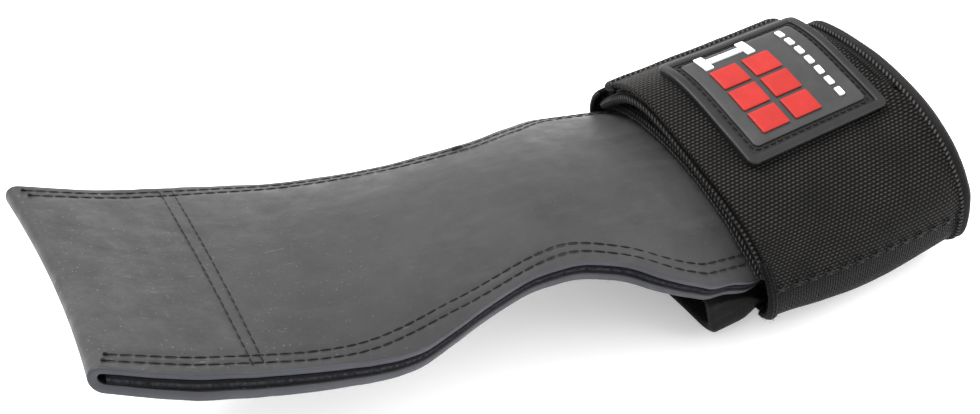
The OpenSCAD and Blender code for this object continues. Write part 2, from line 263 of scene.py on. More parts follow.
def hooks(name, pitch, dark, light):
    """Hook or loop tape: a dense field of small tufts."""
    m = Shade(name, roughness=0.7, specular=0.1, sheen=0.04)
    tufts = m.math("MULTIPLY", m.wave(m.u, pitch), m.wave(m.v, pitch * 1.1))
    height = m.math("MULTIPLY_ADD", m.noise(2.5, 3, 0.7), 0.7, tufts)
    m.set("Base Color", m.mix(m.span(height, 0.4, 1.2), dark, light))
    m.set("Normal", m.bump(height, 0.5, 1.0))
    return m.material


def moulded(name, dark, light, rough=0.5):
    """Soft moulded rubber."""
    m = Shade(name, specular=0.22)
    cloud = m.noise(0.12, 4)
    grain = m.noise(3.2, 2, 0.6)
    m.set("Base Color", m.mix(m.span(cloud, 0.3, 0.7), dark, light))
    m.set("Roughness", m.span(grain, 0.3, 0.7, rough, rough + 0.2))
    m.set("Normal", m.bump(grain, 0.04, 0.6))
    return m.material


RUBBER = rubber("rubber_face", (0.021, 0.021, 0.0218), (0.036, 0.036, 0.0372), True)
RUBBER_CUT = rubber("rubber_cut_edge", (0.028, 0.029, 0.034), (0.050, 0.052, 0.061), False)
FELT = felt("felt_core", (0.0015, 0.0015, 0.003), (0.012, 0.012, 0.018), (0.04, 0.04, 0.044))
WEB = webbing("ribbed_webbing", 1.1, 1.5, (0.0003, 0.0003, 0.0003), (0.060, 0.054, 0.049))
ELASTIC = webbing("ribbed_elastic", 0.9, 1.3, (0.0006, 0.0006, 0.0006), (0.021, 0.018, 0.018), along_u=False)
KNIT = knit("knitted_binding", 1.5, (0.0004, 0.0004, 0.0004), (0.085, 0.078, 0.075), 0.7)
FUZZ = felt("binding_fuzz", (0.01, 0.0095, 0.0095), (0.045, 0.043, 0.043))
LINING = webbing("pad_cover", 0.85, 1.1, (0.0006, 0.0006, 0.0006), (0.022, 0.020, 0.020))
SMOOTH = smooth_fabric("padded_rim_fabric", (0.0045, 0.004, 0.004), (0.012, 0.011, 0.011))
THREAD = twisted_thread("black_thread", (0.0015, 0.0015, 0.002), (0.008, 0.008, 0.010))
TAPE = hooks("hook_and_loop", 0.9, (0.003, 0.003, 0.0032), (0.018, 0.0175, 0.018))
LABEL = moulded("label_rubber", (0.006, 0.006, 0.0065), (0.0105, 0.0105, 0.011), 0.36)
LABEL_FIELD = moulded("label_field_rubber", (0.022, 0.022, 0.0225), (0.032, 0.032, 0.0325), 0.42)
RED = moulded("label_red", (0.25, 0.009, 0.006), (0.31, 0.013, 0.010), 0.45)
LABEL_BED = moulded("label_bed_rubber", (0.002, 0.002, 0.002), (0.006, 0.006, 0.006))
WHITE = moulded("label_white", (0.62, 0.62, 0.62), (0.74, 0.74, 0.73), 0.45)


# ---- the flap's surface --------------------------------------------------------
# Stations are (s, value), with s in millimetres from the folded tip. HALF and NEAR_EDGE are half widths,
# NEAR_ROW places the near stitch rows, FAR_TRIM narrows the far side, TWIST is in degrees, SAG is a height
# and ARCH is the curvature across the flap.
HINGE_AT, FLAP_END, MOUTH_AT = 131, 204, 184.1
HALF = [(0, 47.3), (30, 47.3), (66, 46.6), (98, 39.5), (131, 33.1), (149, 38.4), (162, 46), (178, 47),
        (188, 44), (204, 38)]
NEAR_EDGE = [(0, 47.4), (14, 48.2), (37, 48.1), (63, 47.2), (77, 46.9), (83, 46.2), (90, 44),
             (96.5, 41.7), (104, 38.8), (111, 36.6), (117, 34.9), (124, 34.1), (130, 34), (136, 34.7),
             (141, 36), (147, 38.2), (152, 40.9), (157, 44), (162.5, 46.4), (168.4, 48.5), (171, 49.4),
             (173, 49.6), (178, 49.4), (190, 49.2), (204, 40)]
NEAR_ROW = [(0, 47.3), (30, 47.3), (66, 46.6), (98, 39.5), (131, 33.1), (149, 38.4), (162, 45.2), (169, 47.6),
            (171.4, 48.2), (173, 48.1), (188, 46.8), (204, 44)]
FAR_TRIM = [(0, 0), (140, 0), (178, 3), (188, 3), (204, 2)]
TWIST = [(0, 0), (60, 2.56), (131, 5.6), (184, 8), (204, 11)]
SAG = [(0, 0), (31, -8.3), (67, -10.7), (102, -6.7), (138, -1.7), (186, -0.9), (204, 2.6)]
ARCH = [(0, 0.0013), (44, 0.0019), (107, 0.0094), (151, 0.0096), (190, 0.0122), (204, 0.014)]
STRAP = 34.0  # half the strap's width
CUFF_MID = 19.0
# The flap's own frame is turned by TURN, and its point SEEN sits at PLACE in the part's frame.
SEEN = np.array([185.6, -4.9, -17.8])
PLACE = np.array([-STRAP, 0, CUFF_MID])
TURN = np.array(Matrix.Rotation(math.radians(-15.6), 3, "X") @ Matrix.Rotation(math.radians(14), 3, "Y")
                @ Matrix.Rotation(math.radians(-1.2), 3, "Z"))


def smooth(stations, s):
    """A smooth curve through the stations, at s."""
    x, y = np.array(stations, float).T
    n = len(x)
    lo, hi = np.maximum(np.arange(n) - 1, 0), np.minimum(np.arange(n) + 1, n - 1)
    slope = (y[hi] - y[lo]) / (x[hi] - x[lo])
    s = np.asarray(s, float)
    i = np.clip(np.searchsorted(x, s, side="right") - 1, 0, n - 2)
    h = x[i + 1] - x[i]
    u = (s - x[i]) / h
    return (y[i] * (1 + 2 * u) * (1 - u) ** 2 + slope[i] * h * u * (1 - u) ** 2
            + y[i + 1] * u * u * (3 - 2 * u) + slope[i + 1] * h * u * u * (u - 1))


def on_flap(s, t, h):
    """World point of the flap: s from the folded tip, t across, h over the grip face."""
    s, t, h = np.broadcast_arrays(np.asarray(s, float), t, h)
    k = smooth(ARCH, s)
    roll = np.exp(-(s / 11) ** 2) * np.clip(1 - (t / 47) ** 2, 0, 1)
    s, h = s + 2.4 * roll, h - 2.3 * roll  # the tip's middle is drawn back and rolls down
    y, z = (1 / k + h) * np.sin(k * t), (1 / k + h) * np.cos(k * t) - 1 / k
    a = np.radians(smooth(TWIST, s))
    p = np.stack([s, y * np.cos(a) - z * np.sin(a), y * np.sin(a) + z * np.cos(a) + smooth(SAG, s)], -1)
    return (p - SEEN) @ TURN.T + PLACE


def flap_place(p):
    """The (s, t, h) of world points."""
    q = (p - PLACE) @ TURN + SEEN
    s = np.clip(q[..., 0], 0, FLAP_END)
    a, k = np.radians(smooth(TWIST, s)), smooth(ARCH, s)
    z0 = q[..., 2] - smooth(SAG, s)
    y, z = q[..., 1] * np.cos(a) + z0 * np.sin(a), -q[..., 1] * np.sin(a) + z0 * np.cos(a)
    return q[..., 0], np.arctan2(y, z + 1 / k) / k, np.hypot(y, z + 1 / k) - 1 / k


def half_width(s, side):
    return smooth(NEAR_EDGE, s) if side < 0 else smooth(HALF, s) - smooth(FAR_TRIM, s)


def row_place(s, side, inset):
    """Where a stitch row runs across the flap, for a row inset from the edge."""
    return -(smooth(NEAR_ROW, s) - inset) if side < 0 else smooth(HALF, s) - smooth(FAR_TRIM, s) - inset


def cross_place(row, t):
    """Where along the flap a cross row runs: the two rows lean a little."""
    return (40.35 + 0.027 * t) if row == 0 else (43.6 + 0.036 * t)


def wobble(s, t, scale, seed=0.0):
    """Even noise over (s, t), with bumps about scale millimetres apart."""
    s, t = np.broadcast_arrays(np.asarray(s, float), t)
    flat = [noise.noise(Vector((a / scale, b / scale, seed))) for a, b in zip(s.ravel(), t.ravel())]
    return np.array(flat).reshape(s.shape)


# ---- meshes from rings -----------------------------------------------------------
def store_uv(mesh, uv):
    """Gives each corner of the mesh its vertex's place in uv, in millimetres."""
    layer = mesh.uv_layers.new(name="UVMap")
    index = np.empty(len(mesh.loops), np.int32)
    mesh.loops.foreach_get("vertex_index", index)
    layer.data.foreach_set("uv", uv[index].astype(np.float32).ravel())


def add_mesh(name, verts, faces, materials, uv, body=None, weld=False):
    """A smooth-shaded object from points in millimetres. weld joins a closed loop's two ends."""
    mesh = bpy.data.meshes.new(name)
    mesh.from_pydata((verts * MM).tolist(), [], faces)
    for material in materials:
        mesh.materials.append(material)
    store_uv(mesh, uv)
    b = bmesh.new()
    b.from_mesh(mesh)
    if weld:
        bmesh.ops.remove_doubles(b, verts=b.verts, dist=1e-7)
    bmesh.ops.recalc_face_normals(b, faces=b.faces)
    b.to_mesh(mesh)
    b.free()
    mesh.polygons.foreach_set("use_smooth", np.ones(len(mesh.polygons), bool))
    mesh.update()
    obj = bpy.data.objects.new(name, mesh)
    bpy.context.scene.collection.objects.link(obj)
    if body:
        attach(obj, body)
    return obj


def tube_faces(rings, sides, cap=True, base=0):
    """Faces of a tube through rings of points, numbered from base, with its two ends closed by cap."""
    i, j = np.meshgrid(np.arange(rings - 1), np.arange(sides), indexing="ij")
    k = (j + 1) % sides
    corners = np.stack([i * sides + j, (i + 1) * sides + j, (i + 1) * sides + k, i * sides + k], -1)
    faces = (corners.reshape(-1, 4) + base).tolist()
    if cap:
        last = base + (rings - 1) * sides
        faces += [[base + c for c in range(sides)], [last + c for c in range(sides)][::-1]]
    return faces


def tube(name, points, materials, uv, cap=True, body=None, weld=False):
    """A mesh through rings of points in millimetres."""
    faces = tube_faces(*points.shape[:2], cap)
    return add_mesh(name, points.reshape(-1, 3), faces, materials, uv.reshape(-1, 2), body, weld)


def joined(name, parts, material, body=None):
    """One mesh from many small closed tubes."""
    verts, faces, uvs = [], [], []
    for points, uv in parts:
        faces += tube_faces(*points.shape[:2], base=sum(len(v) for v in verts))
        verts.append(points.reshape(-1, 3))
        uvs.append(uv.reshape(-1, 2))
    return add_mesh(name, np.concatenate(verts), faces, [material], np.concatenate(uvs), body)


# ---- rubber sheet and felt core ----------------------------------------------------
ROW_OUTER, ROW_INNER = 2.9, 5.8
STITCH, THREAD_SEEN = 3.5, 3.05
SHEET_END = 201.0
EDGE = np.array([0.25, 0.6, 1.2, 2.0, 2.5, 2.9, 3.3, 3.8, 4.6, 5.3, 5.8, 6.3, 7, 8.5, 11, 14, 18])
MIDDLE = np.linspace(0, 1, 28)[1:-1]


def across(s, near_extra=0.0, inset=0.0):
    """Places across the flap at s, dense where the stitch rows pull the sheet in."""
    near = half_width(s, -1) + near_extra - inset + 0.28 * wobble(s, 0 * s, 7, 3.1)
    far = half_width(s, 1) - inset + 0.28 * wobble(s, 0 * s, 7, 8.4)
    left, right = -near[:, None] + EDGE, far[:, None] - EDGE[::-1]
    mid = left[:, -1:] + (right[:, :1] - left[:, -1:]) * MIDDLE
    return near, far, np.concatenate([left, mid, right], 1)


def pulled_in(s, t):
    """How far the stitches draw the face in, in millimetres."""
    beat = 0.75 + 0.25 * np.cos(2 * np.pi * s / STITCH)
    rows = 0
    for inset in (ROW_OUTER, ROW_INNER):
        for side in (-1, 1):
            rows = rows + np.exp(-((t - row_place(s, side, inset)[:, None]) / 0.8) ** 2) * beat[:, None]
    for row in (0, 1):
        rows = rows + 0.8 * np.exp(-((s[:, None] - cross_place(row, t)) / 0.9) ** 2)
    return 0.28 * np.minimum(rows, 1)


def flap_sheet():
    """The rubber sheet: down the grip face, round the tip, and back along the underside."""
    r = FLAP_T / 2
    leg = np.linspace(SHEET_END, r, 113)
    turn = np.linspace(0, np.pi, 17)[1:-1]
    outer_s = np.concatenate([leg, r - r * np.sin(turn), leg[::-1]])
    outer_h = np.concatenate([0 * leg, -FLAP_T / 2 + r * np.cos(turn), 0 * leg - FLAP_T])
    ri = CORE_T / 2
    inner_s = np.concatenate([leg, r - ri * np.sin(turn), leg[::-1]])
    inner_h = np.concatenate([0 * leg - TOP_T, -TOP_T - ri + ri * np.cos(turn), 0 * leg - TOP_T - CORE_T])
    under = np.clip((outer_h + FLAP_T / 2) / -FLAP_T + 0.5, 0, 1)
    s_at = np.maximum(outer_s, 0.0)
    near, far, t = across(s_at, 0.9 * under * np.clip(s_at / 25, 0, 1))
    dip = pulled_in(s_at, t) * np.where(under > 0.5, -1, 1)[:, None] * (outer_s > 4)[:, None]
    uneven = 0.3 * wobble(outer_s[:, None], t, 24, 1.0) + 0.08 * wobble(outer_s[:, None], t, 5, 2.0)
    h = outer_h[:, None] - dip + np.where(np.abs(under - 0.5) > 0.49, 1, 0)[:, None] * uneven
    face = on_flap(outer_s[:, None], t, h)
    back = on_flap(inner_s[:, None], t[:, ::-1], inner_h[:, None])

    def wall(edge, f):
        s = outer_s + (inner_s - outer_s) * f
        return on_flap(s, edge, outer_h + (inner_h - outer_h) * f)[:, None]
    ring = np.concatenate([face, wall(far, 0.12), wall(far, 0.5), wall(far, 0.88), back,
                           wall(-near, 0.88), wall(-near, 0.5), wall(-near, 0.12)], 1)
    n = t.shape[1]
    signed = np.where(under > 0.5, -1, 1) * outer_s
    u = np.repeat(signed[:, None], ring.shape[1], 1)
    far_v = far[:, None] + np.array([0.3, 1.1, 1.9])
    near_v = -near[:, None] - np.array([1.9, 1.1, 0.3])
    v = np.concatenate([t, far_v, t[:, ::-1], near_v], 1)
    sheet = tube("flap_sheet", ring, [RUBBER, RUBBER_CUT], np.stack([u, v], -1))
    rows = ring.shape[1]
    for k, poly in enumerate(sheet.data.polygons):
        j = k % rows
        if n - 1 <= j < n + 3 or j >= 2 * n + 2:
            poly.material_index = 1
    return sheet


def flap_core():
    """The felt between the two leaves of rubber."""
    s = np.linspace(4.2, SHEET_END - 0.5, 150)
    near, far, t = across(s, 0.0, 0.1)
    ragged = 0.4 * wobble(s, 0 * s, 1.6, 5.0)
    top = on_flap(s[:, None], t, -TOP_T - 0.04 + 0 * t)
    low = on_flap(s[:, None], t[:, ::-1], -TOP_T - CORE_T + 0.04 + 0 * t)
    depth = np.array([0.1, 0.28, 0.5, 0.72, 0.9])
    stand = np.array([0.1, 0.35, -0.1, 0.35, 0.1])

    def wall(edge, side):
        out = side * (edge[:, None] + stand + ragged[:, None])
        return on_flap(s[:, None], out, -TOP_T - CORE_T * depth[None])
    ring = np.concatenate([top, wall(far, 1), low, wall(near, -1)[:, ::-1]], 1)
    u = np.repeat(s[:, None], ring.shape[1], 1)
    edge_v = np.repeat(EDGE_V + CORE_T * depth[None], len(s), 0)
    v = np.concatenate([t, edge_v, t[:, ::-1], edge_v[:, ::-1]], 1)
    return tube("flap_core", ring, [FELT], np.stack([u, v], -1))


def bead(a, b, up, width, height, sink, sides=8, rings=9):
    """One stitch: a thread that dips into the face at a and b. up is the face's outward direction."""
    a, b, up = (np.asarray(x, float) for x in (a, b, up))
    along = b - a
    side = np.cross(up, along)
    side /= np.linalg.norm(side)
    f = np.linspace(0, 1, rings)
    swell = np.clip(np.sin(np.pi * f), 0, 1) ** 0.35
    swell[0] = swell[-1] = 0.35
    lift = (0.1 + 0.9 * np.clip(np.sin(np.pi * f), 0, 1) ** 0.5) * height - sink
    centre = a + along * f[:, None] + up * lift[:, None] * 0.5
    angle = np.linspace(0, 2 * np.pi, sides, endpoint=False)
    ring = (side * np.cos(angle)[:, None] * width / 2)[None] * swell[:, None, None] \
        + (up * np.sin(angle)[:, None] * height / 2)[None] * swell[:, None, None]
    points = centre[:, None] + ring
    length = np.linalg.norm(along)
    uv = np.stack(np.broadcast_arrays((f * length)[:, None], (angle * width / 2)[None]), -1)
    return points, uv


def flap_stitches(face_h, out):
    """Both edge rows and the two cross rows on one face of the flap."""
    parts = []

    def stitch(s0, t0, s1, t1, width=0.46, height=0.36):
        a, b = on_flap(s0, t0, face_h), on_flap(s1, t1, face_h)
        up = on_flap(s0, t0, face_h + out) - a
        parts.append(bead(a, b, up / np.linalg.norm(up), width, height, sink=0.2))
    for side in (-1, 1):
        for inset in (ROW_OUTER, ROW_INNER):
            start = 4.0 if inset == ROW_OUTER else 5.0
            for k in range(int((MOUTH_AT + 3 - start) / STITCH)):
                s = start + k * STITCH
                t = [float(row_place(x, side, inset)) for x in (s, s + THREAD_SEEN)]
                drift = 0.12 * noise.noise(Vector((k * 1.7, side, inset)))
                stitch(s, t[0] + drift, s + THREAD_SEEN, t[1] - drift)
            knot = float(row_place(start, side, inset))
            stitch(start - 0.4, knot, start + 0.9, knot, 1.1, 0.8)
    tack = float(row_place(128, 1, ROW_OUTER))
    for off in (-0.5, 0.4):
        stitch(126.2, tack + off, 130.0, tack + off * 0.6, 0.7, 0.7)
    for row, reach in ((0, 45.6), (1, 44.6)):
        count = int(2 * reach / STITCH)
        for k in range(count):
            t = -reach + (k + 0.5) * 2 * reach / count
            drift = 0.15 * noise.noise(Vector((k * 2.3, row, 4)))
            s0, s1 = cross_place(row, t - 1.5), cross_place(row, t + 1.5)
            stitch(s0 + drift, t - 1.5, s1 - drift, t + 1.5)
    return parts


palm_start, palm_end = (on_flap(HINGE_AT + reach, 0, -FLAP_T / 2) * MM for reach in (-17, 17))
sheet = flap_sheet()
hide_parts("grip_sheet_palm", "grip_sheet_heel", "under_sheet_heel")
core = flap_core()
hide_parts("felt_core_palm", "felt_core_heel")
stitches = joined("flap_stitching", flap_stitches(0.0, 1.0) + flap_stitches(-FLAP_T, -1.0), THREAD)
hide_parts("palm_edge_stitching", "palm_cross_stitching", "heel_edge_stitching")
for piece in (sheet, core, stitches):
    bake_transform(piece)


# ---- the cuff's surface ---------------------------------------------------------------
FAR, NEAR, UP, DOWN = 51.0, 48.5, 25.5, 20.0
NEAR_UP_POWER, FAR_UP_POWER, DOWN_POWER = 2.5, 2.0, 2.2

# Angles run round the cuff from its far side (0) over the top (90) to its near side (180).
PEEL, SEAM, TAIL = 114.0, 176.0, 42.0
TAIL_IN = 3.4
TAIL_REAR = STRAP - TAIL_IN
WEB_T = 2.0
SEAM_LEAN = 10.5

# The pad lies inside the webbing and looks out in front of it with a lip.
PAD_T, PAD_LIP, PAD_IN = 3.0, 17.0, 3.0
PAD_UP, PAD_DOWN = 7.0, CUFF_MID - 2.2
LIP_NEAR, LIP_POWER, LIP_BACK, LIP_LEAN = 37.0, 7.0, 6.4, 0.22
UNDER_FLAP, PANEL_ROOM = 1.4, 4.6
RISE_FROM, RISE_TO = -12, 22
OVER_FLAP = 0.9


def step(x, low, high):
    """Rises smoothly from 0 at low to 1 at high."""
    u = np.clip((x - low) / (high - low), 0, 1)
    return u * u * (3 - 2 * u)


def hump(x, centre, width):
    """A smooth bump of height 1."""
    return np.exp(-((x - centre) / width) ** 2)


def settle(a, x):
    """How far the soft cuff stands out from (or inside) its even oval, in millimetres."""
    a = np.mod(a + 90, 360) - 90
    near_low = hump(a, 222, 34) * (3.6 * hump(x, 4, 24) - 3.0 * (1 - step(x, -34, -4))
                                  - 2.2 * (1 - step(x, -34, -16)) * step(x, -44, -35))
    padded_top = 4.05 * hump(a, 62.8, 23.7) * (1 - 0.35 * x / STRAP)
    far_drop = 5.0 * (1 - step(a, 42, 62)) * step(a, -20, 25)
    rear_top = 3.0 * hump(a, 102, 31) - 1.1 * hump(a, 154, 30) - far_drop
    rear = step(x, 27, 33.5)
    uneven = 0.3 * np.sin(np.radians(a) * 5 + x / 17) * hump(x, 0, 40)
    return near_low + padded_top * (1 - rear) + rear_top * rear + uneven


def oval(a, x, depth, far=FAR, near=NEAR, up=UP, down=DOWN, floor=CUFF_MID, settled=1.0):
    """World point of the cuff at an angle, a place along it and a depth below the webbing's face."""
    a, x, depth = np.broadcast_arrays(np.asarray(a, float), x, depth)
    c, s = np.cos(np.radians(a)), np.sin(np.radians(a))
    power = np.where(s < 0, DOWN_POWER, np.where(c < 0, NEAR_UP_POWER, FAR_UP_POWER))
    y = (np.where(c > 0, far, near) - depth) * np.sign(c) * np.abs(c) ** (2 / power)
    z = (np.where(s > 0, up, down) - depth) * np.sign(s) * np.abs(s) ** (2 / power)
    reach = np.hypot(y, z * 1.6) + 1e-6
    out = settled * settle(a, x)
    y, z = y + out * y / reach, z + out * z * 1.6 / reach
    z = np.maximum(z, np.maximum(depth, 0) - floor)
    return np.stack([x, y, z + CUFF_MID], -1)


def seam_lean(a, x):
    """The seam rises towards the front of the strap: degrees it moves, fading out round the loop."""
    weight = step(a, 128, 170) * (1 - step(a, 185, 225))
    return SEAM_LEAN * np.clip((STRAP - x) / (2 * STRAP), 0, 1) ** 1.5 * weight


def web_surface(a, x, depth):
    """The webbing's face: the oval with a leaning seam, its front edge set back low on the near side."""
    a, x, depth = np.broadcast_arrays(np.asarray(a, float), x, depth)
    set_back = 3.0 * hump(np.mod(a, 360), 230, 28) * (1 - step(x, -STRAP - 1, -STRAP + 14))
    return oval(a - seam_lean(a, x), x + set_back, depth)


def tail_narrows(a, x):
    """The strap's free end is narrower: its rear edge runs in between two angles."""
    return np.where(x > 0, x - (x / STRAP) * TAIL_IN * (1 - step(a, 92, 112)), x)


def strap_surface(a, x, depth):
    a, x, depth = np.broadcast_arrays(np.asarray(a, float), x, depth)
    return web_surface(a, tail_narrows(a, x), depth)


def arc(a, x, depth):
    """Length along the cuff's face up to each angle."""
    p = oval(a, x, depth)
    return np.concatenate([[0], np.cumsum(np.linalg.norm(np.diff(p, axis=0), axis=1))])


def profile(x0, x1, outer, inner, edge, nx, crown=0.0):
    """Rounded outline of a band across the cuff: arrays of x and depth."""
    e = min(edge, abs(inner - outer) / 2 - 0.01, (x1 - x0) / 2 - 0.01)
    q = np.radians(np.linspace(0, 90, 4))[1:-1]
    xs = np.linspace(x0 + e, x1 - e, nx)
    mid = (x0 + x1) / 2
    swell = crown * (1 - ((xs - mid) / (x1 - x0) * 2) ** 2)
    small, large = e - e * np.cos(q), e - e * np.sin(q)
    x = np.concatenate([xs, x1 - large, [x1, x1], x1 - small, xs[::-1], x0 + large, [x0, x0], x0 + small])
    d = np.concatenate([outer - swell, outer + small, [outer + e, inner - e], inner - large,
                        inner + 0 * xs, inner - small, [inner - e, outer + e], outer + large])
    return x, d


def band(name, x0, x1, outer, inner, a0, a1, material, body="cuff", edge=0.6, nx=30, crown=0.0, spacing=2.0,
         shift=None, waves=0.0, surface=oval, blunt=1.2):
    """A strip of the cuff's wall with rounded edges, from angle a0 to a1. A full turn makes a closed loop."""
    rough = arc(np.linspace(a0, a1, 60), 0.0, outer)[-1]
    n = max(8, int(rough / spacing))
    a = np.linspace(a0, a1, n)
    fat = np.ones(n)
    loop = abs(a1 - a0 - 360) < 1e-6
    if not loop:
        turn = blunt / max(rough, 1) * (a1 - a0)
        tip = np.array([0.0, 0.3, 0.65])
        inside = (np.abs(a - a0) > abs(turn)) & (np.abs(a - a1) > abs(turn))
        a = np.concatenate([a0 + turn * tip * 0.999, a[inside], a1 - turn * tip[::-1]])
        fat = np.ones(len(a))
        fat[:3], fat[-3:] = [0.45, 0.78, 0.95], [0.95, 0.78, 0.45]
    x, d = profile(x0, x1, outer, inner, edge, nx, crown)
    mid = (outer + inner) / 2
    depth = mid + (d[None] - mid) * fat[:, None]
    xs = np.repeat(x[None], len(a), 0)
    if waves:
        fade = np.clip(np.minimum(a - a0, a1 - a) / 8, 0, 1)[:, None] if loop else 1
        depth = depth + fade * waves * wobble(a[:, None] * 0.8, xs, 11, outer)
        xs = xs + fade * waves * 0.8 * wobble(a[:, None] * 0.8, 0 * xs, 9, inner + 3)
    points = surface(a[:, None], xs, depth)
    if shift:
        points = shift(points, (d[None] - outer) / (inner - outer) * np.ones_like(depth))
    u = arc(a, 0.0, outer)
    uv = np.stack(np.broadcast_arrays(u[:, None], (x + np.where(d > mid, EDGE_V, 0))[None]), -1)
    return tube(name, points, [material], uv, cap=not loop, body=body, weld=loop)


def over_flap(points, share):
    """Lifts what would cut the flap's grip face."""
    s, t, h = flap_place(points)
    hit = (s > 150) & (s < FLAP_END + 1) & (h > -10) & (h < OVER_FLAP) & (np.abs(t) < 48)
    lifted = on_flap(s, t, OVER_FLAP - 0.4 * share)
    return np.where(hit[..., None], lifted, points)


def pad_surface(a, x, depth):
    """The pad: low under the flap, rising behind its heel, with a crisp lower corner that shows in front."""
    a, x, depth = np.broadcast_arrays(np.asarray(a, float), x, depth)
    out = 1 - step(x, -STRAP - 2, -STRAP + 14)
    p = oval(a, x, depth, FAR - PAD_IN, NEAR - PAD_IN, PAD_UP, PAD_DOWN, PAD_DOWN, 1 - out)
    # the near lower corner of the lip
    y, z = np.minimum(p[..., 1], 0), p[..., 2] - CUFF_MID
    z_low = np.minimum(z, 0)
    wide, deep = LIP_NEAR - depth, CUFF_MID - 0.8 - depth
    size = ((np.abs(y) / wide) ** LIP_POWER + (np.abs(z_low) / deep) ** LIP_POWER) ** (1 / LIP_POWER)
    size = np.where(z < 0, size, (NEAR - PAD_IN - depth) / wide)
    near = out * (1 - step(p[..., 1], -14, 10))
    p[..., 1] += (y / size - y) * near
    p[..., 2] += np.where(z < 0, z / size - z, 0) * near
    # the lip's front edge leans back towards its top
    back = (LIP_BACK - LIP_LEAN * (p[..., 2] - 1)) * (1 - step(p[..., 1], -40, 30))
    p[..., 0] += back * (1 - step(x, -STRAP - PAD_LIP, -STRAP - 1))
    # what would cut the flap goes below it
    s, t, h = flap_place(p)
    limit = -FLAP_T - UNDER_FLAP - np.clip(depth, 0, PAD_T)
    on = s.clip(0, FLAP_END - 0.1)
    below = on_flap(on, t, limit) + (s - on)[..., None] * TURN[:, 0]
    low = np.where(((h > limit) & (h < 30))[..., None], below, p)
    # behind the flap's heel the pad fills the cuff, with room for the closure pad
    turn = np.mod(a, 360)
    under_panel = step(turn, 0, 16) * (1 - step(turn, 150, 172))
    deeper = depth + PANEL_ROOM * under_panel
    full = oval(a, x, deeper, FAR - PAD_IN, NEAR - PAD_IN, UP - PAD_IN, PAD_DOWN, PAD_DOWN)
    return low + (full - low) * step(x, RISE_FROM, RISE_TO)[..., None]


pad = band("wrist_pad_shell", -STRAP - PAD_LIP, STRAP + 0.3, 0.0, PAD_T, 272, 632, LINING, edge=1.45, nx=44,
           spacing=2.4, surface=pad_surface, waves=0.35)
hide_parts("wrist_pad")

base = band("base_web", -STRAP, STRAP, 0.35, WEB_T, SEAM - 1.5, 360 + 27, ELASTIC, nx=40, waves=0.12,
            surface=web_surface)
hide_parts("base_webbing")

strap = band("strap_web", -STRAP, STRAP, 0.0, WEB_T, TAIL, SEAM, WEB, body=None, nx=40, spacing=1.6,
             waves=0.12, surface=strap_surface)
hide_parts("wrist_strap", "strap_tail")
peel_from, peel_to = oval(PEEL + 5, 0, 1) * MM, oval(PEEL - 5, 0, 1) * MM
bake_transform(strap)

front_trim = band("strap_front_trim", -STRAP - 1.5, -STRAP + 1.6, -0.35, WEB_T + 0.5, 152, 206, ELASTIC,
                  edge=1.3, nx=8, waves=0.2, surface=web_surface)
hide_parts("strap_edge_binding")

panel = band("closure_pad", -STRAP + 2, TAIL_REAR + 0.4, 4.1, 7.1, 13, 156, SMOOTH, edge=1.4, nx=34,
             crown=0.3, shift=over_flap, waves=0.25)
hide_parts("closure_panel")
panel_trim = band("closure_pad_trim", -STRAP + 0.4, -STRAP + 4.2, 3.7, 7.2, 15, 160, KNIT, edge=1.5, nx=8,
                  shift=over_flap, waves=0.25)
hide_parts("panel_binding")
loops = band("loop_patch", -STRAP + 4.4, TAIL_REAR, 3.1, 4.1, 30, PEEL - 3, TAPE, edge=0.3)
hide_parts("loop_tape")
hook = band("hook_patch", -STRAP + 4, TAIL_REAR - 2, WEB_T, WEB_T + 0.8, TAIL + 2, 98, TAPE,
            body="strap_end", edge=0.3)
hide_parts("hook_tape")
tail_trim = band("tail_end_trim", -STRAP - 0.3, TAIL_REAR + 0.3, -0.6, WEB_T + 0.8, TAIL - 4, TAIL + 3.2,
                 KNIT, body="strap_end", edge=1.2, nx=40, waves=0.2)
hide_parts("tail_end_binding")
shoulder = band("loop_shoulder", TAIL_REAR + 0.6, STRAP + 0.4, 0.7, 4.6, 26, 100, TAPE, edge=1.5, nx=8,
                waves=0.3)

rim = band("rear_rim", STRAP - 0.6, STRAP + 3.4, -0.5, 5.6, 271, 631, SMOOTH, edge=1.95, nx=12, crown=0.3,
           spacing=1.6, waves=0.25)
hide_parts("rear_binding")
piping = band("rear_piping_cord", STRAP - 1.3, STRAP + 0.2, -0.75, 0.9, 271, 631, KNIT, edge=0.74, nx=4,
              spacing=1.6, waves=0.1)
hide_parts("rear_piping")


# ---- knitted roll along the cuff's mouth -------------------------------------------------
def mouth_roll(name, s_shift, h_mid, wide, high, material):
    """A soft roll across the flap's grip face, thinner at its ends."""
    v = np.linspace(-1, 1, 90)
    t = v * (np.where(v < 0, half_width(MOUTH_AT, -1), half_width(MOUTH_AT, 1)) + 0.3)
    s = MOUTH_AT + 3.5 * v * v + s_shift
    a = np.radians(np.linspace(0, 360, 18, endpoint=False))
    thick = 1 + 0.14 * wobble(t, 0 * t, 4, s_shift + 2)
    thick[0] = thick[-1] = 0.55
    half = 0.5 * thick[:, None]
    p = on_flap(s[:, None] + half * wide * np.cos(a), t[:, None], h_mid + half * high * np.sin(a))
    uv = np.stack(np.broadcast_arrays(t[:, None], (np.degrees(a) / 360 * math.pi * wide)[None]), -1)
    return tube(name, p, [material], uv, body="cuff")


roll = mouth_roll("mouth_binding", 0.8, 1.6, 5.0, 3.0, KNIT)
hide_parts("front_binding")


